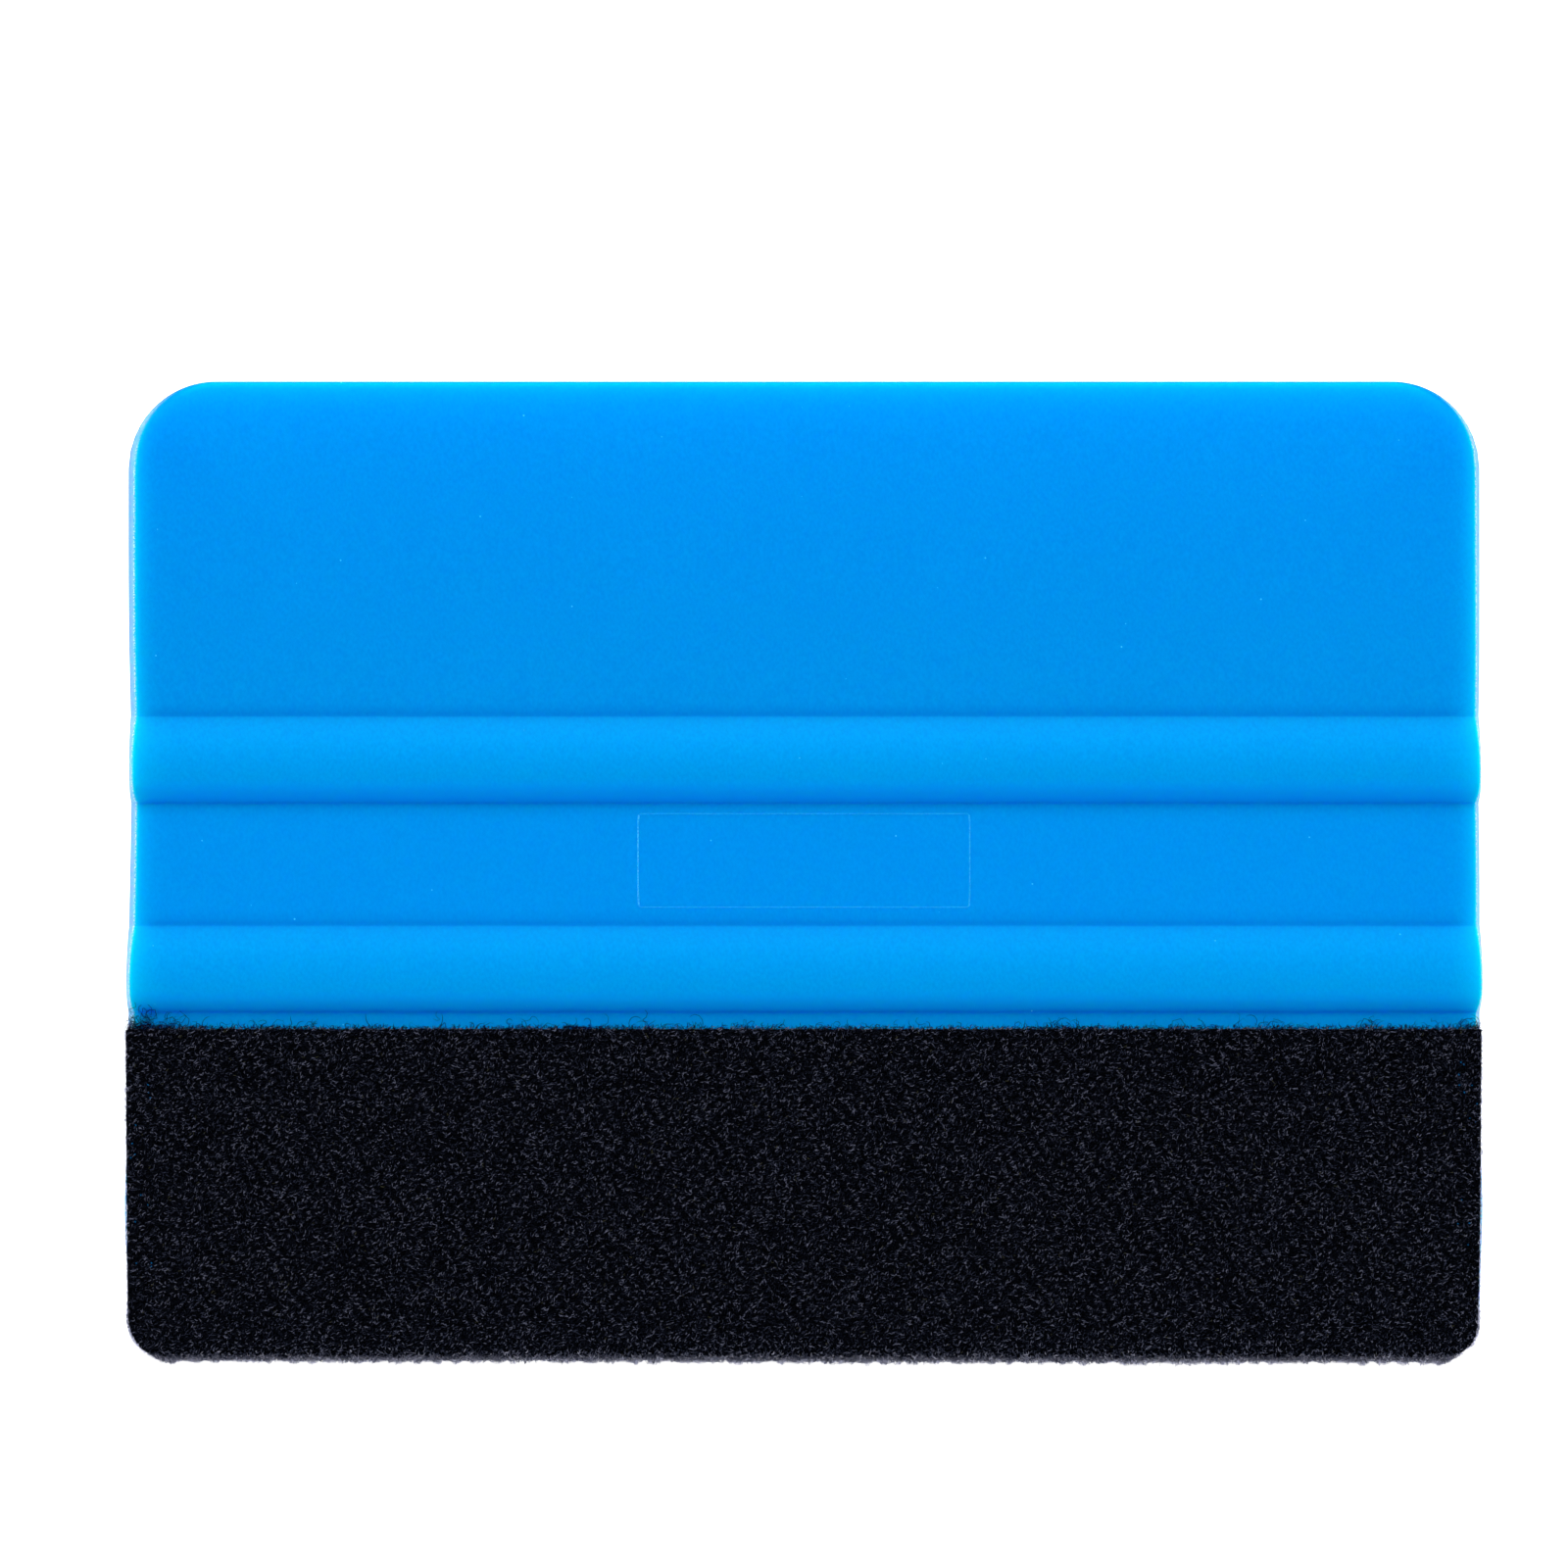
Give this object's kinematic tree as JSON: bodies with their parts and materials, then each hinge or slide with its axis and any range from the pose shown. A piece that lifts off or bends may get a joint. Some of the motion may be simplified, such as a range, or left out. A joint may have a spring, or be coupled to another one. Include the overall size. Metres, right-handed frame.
{
  "type": "squeegee applicator",
  "caption": "Hand squeegee card for vinyl film: flexible blue plastic blade with moulded grip ridges and a black felt strip folded over its working edge.",
  "frame": {"origin": "middle of the card's length and width, on the surface that it lies on", "axes": "+X along the working edge, +Y from the felt to the thumb edge, +Z out of the front face"},
  "size_m": [0.1, 0.0728, 0.0044],
  "materials": {
    "blade_plastic": "fine matte mould grain, slightly translucent",
    "adhesive": "thin double-sided adhesive film",
    "felt": "short black nap"
  },
  "bodies": {
    "root": {"blade": "blade_plastic", "adhesive_film": "adhesive", "felt_strip": "felt"}
  },
  "joints": []
}
